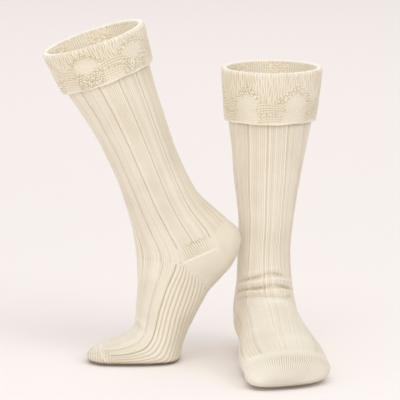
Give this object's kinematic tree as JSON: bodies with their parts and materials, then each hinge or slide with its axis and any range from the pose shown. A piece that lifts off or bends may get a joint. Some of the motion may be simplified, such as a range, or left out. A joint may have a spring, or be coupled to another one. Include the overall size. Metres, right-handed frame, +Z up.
{
  "type": "pair of kilt socks",
  "caption": "Pair of knee socks with ribbed legs and patterned turned-down cuffs, filled out and empty, one on tiptoe and one standing.",
  "frame": {"origin": "middle of the standing sock's opening, at the top of its turned-down cuff, where the wearer's leg holds it", "axes": "+Z up, out of the standing sock's opening; -Y towards the viewer, where the standing sock's toes point; -X to the tiptoe sock, whose toes point along -X"},
  "size_m": [0.3276, 0.2694, 0.3949],
  "materials": {
    "cuff_knit": "cream wool, patterned knit",
    "leg_knit": "cream wool, fine knit with wide ribbed panels",
    "heel_knit": "cream wool, plain knit",
    "foot_knit": "cream wool, narrow ribbed knit",
    "toe_knit": "cream wool, plain knit"
  },
  "bodies": {
    "root": {"standing_cuff": "cuff_knit", "standing_leg": "leg_knit", "standing_heel": "heel_knit", "standing_foot": "foot_knit", "standing_toe": "toe_knit", "tiptoe_cuff": "cuff_knit", "tiptoe_leg": "leg_knit", "tiptoe_heel": "heel_knit", "tiptoe_foot": "foot_knit", "tiptoe_toe": "toe_knit"}
  },
  "joints": []
}
